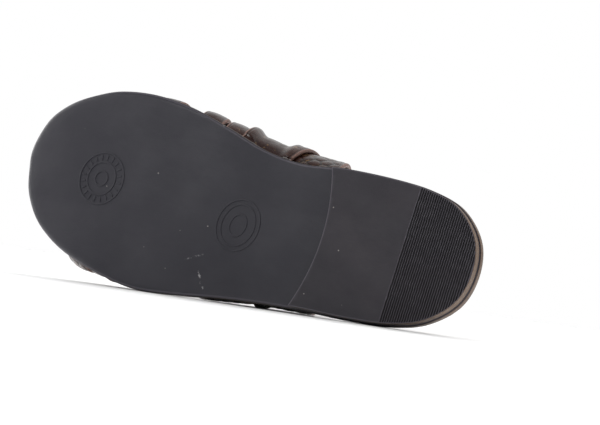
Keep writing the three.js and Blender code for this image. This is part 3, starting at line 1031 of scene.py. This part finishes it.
def scale_centre(column, row, seed):
    key = (column, row, seed)
    if key not in scale_centres:
        jitter = noise.cell_vector(Vector((column + 0.5, row + 0.5, seed + 0.5)))
        along = (column + 0.5 + 0.5 * (row % 2) + jitter_along * (jitter.x - 0.5)) * scale_length
        across = (row + 0.5 + jitter_across * (jitter.y - 0.5)) * scale_width
        scale_centres[key] = Vector((along, across))
    return scale_centres[key]


def scale_edge(along, across, seed):
    """Distance to the nearest groove between the embossed scales"""
    row = math.floor(across / scale_width)
    column = math.floor(along / scale_length)
    here = Vector((along, across))
    centres = [
        scale_centre(column + i, row + j, seed) for i in (-1, 0, 1) for j in (-1, 0, 1)
    ]
    centres.sort(key=lambda centre: (centre - here).length_squared)
    own = centres[0]
    return min(((own + other) / 2 - here).dot((other - own).normalized()) for other in centres[1:4])


# Soft flex creases: place and share across the strap at both ends, depth and spread
creases = {
    "instep_strap": [
        ((0.35, 0.15), (0.15, 0.8), 0.45, 2.2),
        ((-0.3, 0.2), (-0.1, 0.85), 0.4, 2.0),
        ((0.75, 0.3), (0.6, 0.9), 0.35, 1.8),
    ],
    "waist_strap": [((0.5, 0.1), (0.3, 0.9), 0.4, 2.0), ((-0.45, 0.15), (-0.25, 0.9), 0.35, 1.8)],
    "middle_strap": [((0.4, 0.2), (0.25, 0.85), 0.3, 1.6), ((-0.5, 0.1), (-0.35, 0.9), 0.3, 1.6)],
    "toe_strap": [((0.1, 0.15), (-0.05, 0.9), 0.3, 1.6), ((0.6, 0.1), (0.5, 0.9), 0.25, 1.5)],
    "ball_strap": [((-0.3, 0.1), (-0.45, 0.9), 0.3, 1.6), ((0.3, 0.2), (0.2, 0.85), 0.3, 1.6)],
}
ridge_share = 0.45
ridge_place = 1.7
ridge_spread = 0.8


def crease_relief(name, place, across, width, half_length):
    """Troughs with a low ridge on either side, fading at both ends"""
    here = Vector((place * half_length, across * width))
    total = 0.0
    for start, end, depth, spread in creases[name]:
        a = Vector((start[0] * half_length, start[1] * width))
        side = Vector((end[0] * half_length, end[1] * width)) - a
        share = clamp((here - a).dot(side) / side.length_squared, 0.0, 1.0)
        near = (a + side * share - here).length
        fade = math.sqrt(max(0.0, 4 * share * (1 - share)))
        ridge = ridge_share * bump(near, ridge_place * spread, ridge_spread * spread)
        total += depth * fade * (ridge - bump(near, 0.0, spread))
    return total


tuck_places = [2.0, 1.7, 1.4, 1.25, 1.16, 1.1, 1.06, 1.03]
rows_over_foot = 230
turn_steps = 6
face_steps = 30
lining_steps = 12
near_edge = [1.2, 1.5, 1.7, 1.9, 2.1, 2.3, 2.7]


def strap_places():
    """Places from the outer tuck over the foot to the inner tuck"""
    over = [1 - 2 * k / rows_over_foot for k in range(rows_over_foot + 1)]
    return tuck_places + over + [-place for place in reversed(tuck_places)]


def edge_place(share, angle):
    half = strap_thickness / 2
    return ("edge", share, strap_edge_round * (1 - math.cos(angle)), half + half * math.sin(angle))


def strap_profile():
    """The strap's section as rows of kind, share across it, distance from that edge and height"""
    quarter = math.pi / 2
    profile = [edge_place(0, quarter * k / turn_steps) for k in range(turn_steps + 1)]
    profile += [("outer", 0, offset, strap_thickness) for offset in near_edge]
    for k in range(1, face_steps):
        profile.append(("outer", k / face_steps, near_edge[-1], strap_thickness))
    profile += [("outer", 1, offset, strap_thickness) for offset in reversed(near_edge)]
    profile += [edge_place(1, quarter - quarter * k / turn_steps) for k in range(2 * turn_steps + 1)]
    for k in range(1, lining_steps):
        profile.append(("inside", 1 - k / lining_steps, strap_edge_round, 0.0))
    profile += [edge_place(0, quarter * k / turn_steps - quarter) for k in range(turn_steps + 1)]
    return profile


def make_strap(name, seed):
    places = strap_places()
    profile = strap_profile()
    middle = [last_point(sum(strap_edges(name, place)) / 2, place) for place in places]
    lengths = [0.0]
    for a, b in zip(middle, middle[1:]):
        lengths.append(lengths[-1] + (b - a).length)
    bm = bmesh.new()
    columns = len(profile) - 1
    rows = len(places) - 1
    bmesh.ops.create_grid(bm, x_segments=columns, y_segments=rows, size=1)
    groove = bm.verts.layers.float.new("groove")
    edge = bm.verts.layers.float.new("edge")
    inside = bm.verts.layers.float.new("inside")
    for vert in bm.verts:
        kind, share, offset, height = profile[round((vert.co.x + 1) / 2 * columns)]
        row = round((vert.co.y + 1) / 2 * rows)
        place = places[row]
        rear, front = strap_edges(name, place)
        width = front - rear
        margin = offset / width
        across = mix(margin, 1 - margin, share)
        y = mix(rear, front, across)
        flat = 1 - ease((abs(place) - crown_fade_from) / crown_fade)
        if kind == "outer":
            from_edge = min(across, 1 - across) * width
            nearest = scale_edge(lengths[row], across * width, seed)
            print_share = ease((from_edge - print_from_edge) / print_fade)
            if name != "waist_strap":
                print_share *= 1 - smooth_foot_share * ease((-place - smooth_foot_from) / smooth_foot_fade)
            vert[groove] = print_share * math.exp(-((nearest / scale_groove) ** 2))
            height += strap_crown * (1 - (2 * across - 1) ** 2) * flat
            height -= scale_depth * vert[groove]
            height += scale_swell * print_share * ease(nearest / scale_swell_width)
            height += crease_relief(name, place, across, width, lengths[-1] / 2)
            height -= edge_crease_depth * bump(from_edge, edge_crease_place, edge_crease_width)
        vert[edge] = 1.0 if kind == "edge" else 0.0
        vert[inside] = 1.0 if kind == "inside" else 0.0
        height += lift_over_others(name, y, place)
        vert.co = last_point(y, place) + last_normal(y, place) * height
    bmesh.ops.remove_doubles(bm, verts=bm.verts, dist=1e-3)
    open_edges = [item for item in bm.edges if item.is_boundary]
    bmesh.ops.holes_fill(bm, edges=open_edges, sides=0)
    bmesh.ops.recalc_face_normals(bm, faces=bm.faces)
    return finish_piece(name, bm, "upper", [patent_leather], sharp=False)


make_outsole()
make_toe_rings()
make_waist_ovals()
make_lift()
make_footbed()
for number, strap_name in enumerate(straps):
    make_strap(strap_name, number + 1)


# Floor and studio light
front_glow = 0.2
back_glow = 0.7
glow_from = 0.2
glow_full = 0.98


def add_floor():
    finish = Finish("pale_floor")
    finish.shader.inputs["Base Color"].default_value = (0.9, 0.9, 0.9, 1.0)
    finish.shader.inputs["Roughness"].default_value = 0.6
    finish.shader.inputs["Specular IOR Level"].default_value = 0.2
    bm = bmesh.new()
    bmesh.ops.create_grid(bm, x_segments=1, y_segments=1, size=4.0)
    mesh = bpy.data.meshes.new("floor")
    bm.to_mesh(mesh)
    bm.free()
    mesh.materials.append(finish.material)
    floor = bpy.data.objects.new("floor", mesh)
    bpy.context.scene.collection.objects.link(floor)


def add_light(name, place, aim, size, power):
    data = bpy.data.lights.new(name, "AREA")
    data.size = size
    data.energy = power
    light = bpy.data.objects.new(name, data)
    way = (Vector(aim) - Vector(place)).normalized()
    light.matrix_world = Matrix.Translation(place) @ way.to_track_quat("-Z", "Y").to_matrix().to_4x4()
    bpy.context.scene.collection.objects.link(light)


def add_sun(name, way, spread_degrees, strength):
    """Even light from far away that isn't seen in the gloss"""
    data = bpy.data.lights.new(name, "SUN")
    data.energy = strength
    data.angle = math.radians(spread_degrees)
    light = bpy.data.objects.new(name, data)
    light.matrix_world = Vector(way).to_track_quat("-Z", "Y").to_matrix().to_4x4()
    light.visible_glossy = False
    bpy.context.scene.collection.objects.link(light)


def add_world():
    """White where the camera sees it. It lights the shoe dimly from in front and more from behind."""
    world = bpy.data.worlds.new("studio")
    world.use_nodes = True
    tree = world.node_tree
    background = tree.nodes["Background"]
    background.inputs["Color"].default_value = (1.0, 1.0, 1.0, 1.0)
    direction = tree.nodes.new("ShaderNodeTexCoord")
    parts = tree.nodes.new("ShaderNodeSeparateXYZ")
    across = tree.nodes.new("ShaderNodeMapRange")
    across.interpolation_type = "SMOOTHSTEP"
    across.inputs["From Min"].default_value = glow_from
    across.inputs["From Max"].default_value = glow_full
    across.inputs["To Min"].default_value = front_glow
    across.inputs["To Max"].default_value = back_glow
    path = tree.nodes.new("ShaderNodeLightPath")
    strength = tree.nodes.new("ShaderNodeMath")
    strength.operation = "MAXIMUM"
    tree.links.new(direction.outputs["Generated"], parts.inputs[0])
    tree.links.new(parts.outputs["Y"], across.inputs["Value"])
    tree.links.new(across.outputs["Result"], strength.inputs[0])
    tree.links.new(path.outputs["Is Camera Ray"], strength.inputs[1])
    tree.links.new(strength.outputs[0], background.inputs["Strength"])
    bpy.context.scene.world = world


add_floor()
add_world()
add_sun("ceiling", (0.05, -0.15, -1.0), 80.0, 1.7)
add_sun("window_behind", (0.1, -1.0, -0.42), 90.0, 2.6)
add_light("front_light", (-0.5, -1.1, 0.9), (0.0, 0.0, 0.05), 0.7, 7.0)
add_light("toe_light", (-1.5, 0.1, 0.5), (-0.1, 0.0, 0.06), 0.9, 11.0)
bpy.context.scene.view_settings.view_transform = "Standard"
